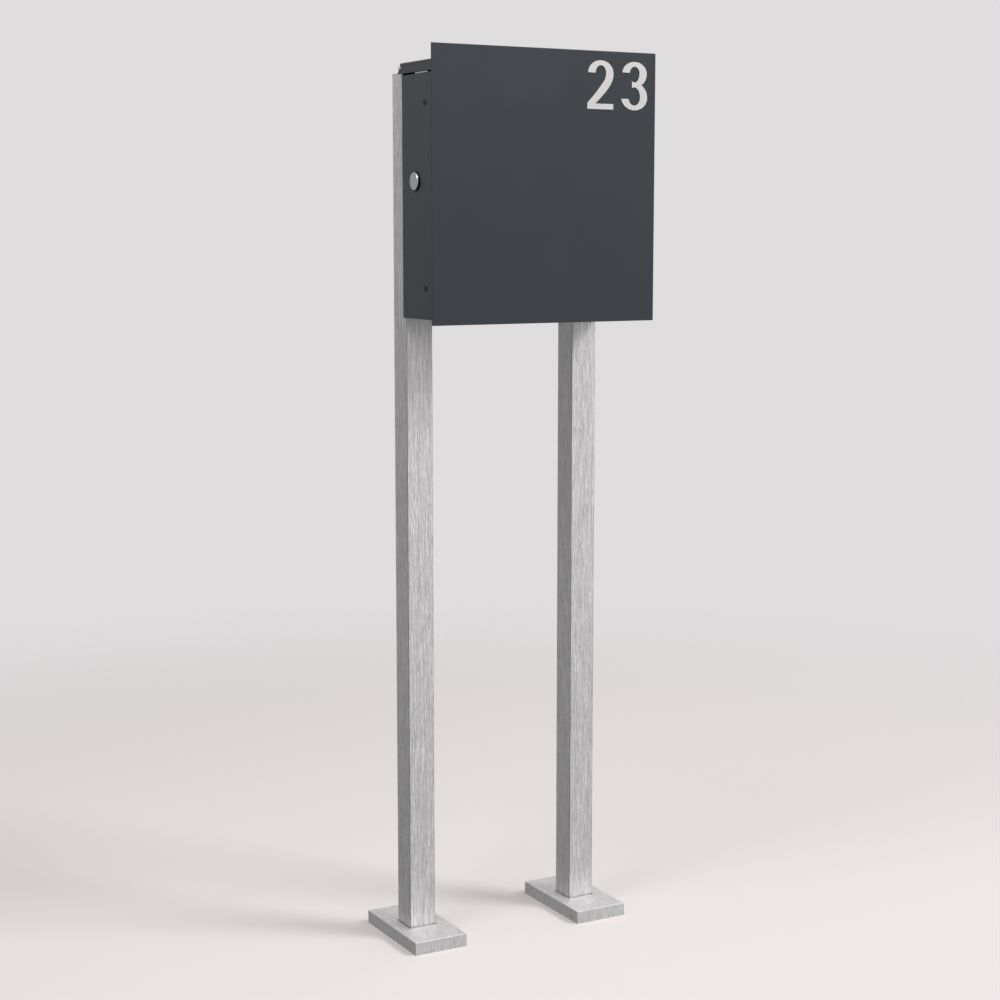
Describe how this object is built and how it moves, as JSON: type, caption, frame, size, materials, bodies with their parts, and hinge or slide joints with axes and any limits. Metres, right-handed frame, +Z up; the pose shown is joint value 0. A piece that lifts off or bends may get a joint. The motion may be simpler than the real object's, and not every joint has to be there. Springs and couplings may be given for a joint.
{
  "type": "free-standing letterbox",
  "caption": "Free-standing letterbox: a wide dark front door on a shallow body, hinged top lid, side cam lock and house number, on square steel posts with foot covers.",
  "frame": {"origin": "on the ground, under the middle of the whole object's bounding box", "axes": "+X to the right seen from the front, +Y to the rear (the front plate faces -Y), +Z up"},
  "size_m": [0.3676, 0.2102, 1.293],
  "materials": {
    "post_steel": "brushed along the post",
    "cap_steel": "brushed",
    "plate_steel": "mill finish",
    "cover_steel": "fine brushed",
    "body_paint": "matt fine-texture powder coat, dark grey",
    "door_paint": "matt fine-texture powder coat, dark grey",
    "lid_paint": "matt fine-texture powder coat, dark grey",
    "inner_paint": "matt powder coat, dark grey",
    "seal_rubber": "soft black sponge rubber",
    "buffer_rubber": "soft light grey silicone",
    "bolt_steel": "plain stainless fasteners",
    "dark_screw": "blackened steel",
    "rod_steel": "bright drawn stainless rod",
    "hinge_steel": "painted with the body",
    "lock_black": "black nickel on zinc die-casting",
    "lock_chrome": "satin chrome",
    "plug_brass": "turned brass",
    "digit_steel": "bright brushed sheet"
  },
  "bodies": {
    "stand": {"left_post": "post_steel", "right_post": "post_steel", "left_post_cap": "cap_steel", "right_post_cap": "cap_steel", "left_base_plate": "plate_steel", "right_base_plate": "plate_steel", "body_shell": "body_paint", "mail_chute": "inner_paint", "mail_keeper": "inner_paint", "door_seal": "seal_rubber", "lid_buffers": "buffer_rubber", "body_bolts": "bolt_steel", "body_washers": "bolt_steel", "post_nuts": "bolt_steel", "side_screws": "dark_screw", "side_nuts": "bolt_steel", "hinge_sleeves": "body_paint", "lid_rod": "rod_steel", "lower_wall_leaf": "hinge_steel", "upper_wall_leaf": "hinge_steel", "lower_hinge_pin": "rod_steel", "upper_hinge_pin": "rod_steel", "hinge_screws": "bolt_steel", "hinge_nuts": "bolt_steel", "lock_housing": "lock_black", "lock_nut": "bolt_steel", "dust_cover_pin": "lock_chrome"},
    "lid": {"lid": "lid_paint"},
    "door": {"front_plate": "door_paint", "door_frame": "door_paint", "catch": "bolt_steel", "catch_rivets": "bolt_steel", "lower_door_leaf": "hinge_steel", "upper_door_leaf": "hinge_steel", "digit_two": "digit_steel", "digit_three": "digit_steel"},
    "lock_plug_and_cam": {"lock_plug": "plug_brass", "lock_cam": "bolt_steel", "cam_screw": "bolt_steel"},
    "lock_dust_cover": {"dust_cover": "lock_chrome"},
    "left_cover": {"left_foot_cover": "cover_steel"},
    "right_cover": {"right_foot_cover": "cover_steel"}
  },
  "joints": [
    {"name": "lid_hinge", "type": "hinge", "parent": "stand", "child": "lid", "pos_m": [-0.00475, 0.00865, 1.2664], "axis": [-1, 0, 0], "range_deg": [0, 80]},
    {"name": "door_hinge", "type": "hinge", "parent": "stand", "child": "door", "pos_m": [0.16275, -0.09775, 1.09], "axis": [0, 0, 1], "range_deg": [0, 100]},
    {"name": "lock_turn", "type": "hinge", "parent": "stand", "child": "lock_plug_and_cam", "pos_m": [-0.15475, -0.03995, 1.11], "axis": [-1, 0, 0], "range_deg": [0, 90]},
    {"name": "dust_cover_swing", "type": "hinge", "parent": "stand", "child": "lock_dust_cover", "pos_m": [-0.17075, -0.03995, 1.12], "axis": [1, 0, 0], "range_deg": [-100, 100]},
    {"name": "left_cover_lift", "type": "slide", "parent": "stand", "child": "left_cover", "axis": [0, 0, 1], "range_m": [0, 0.89]},
    {"name": "right_cover_lift", "type": "slide", "parent": "stand", "child": "right_cover", "axis": [0, 0, 1], "range_m": [0, 0.89]}
  ]
}
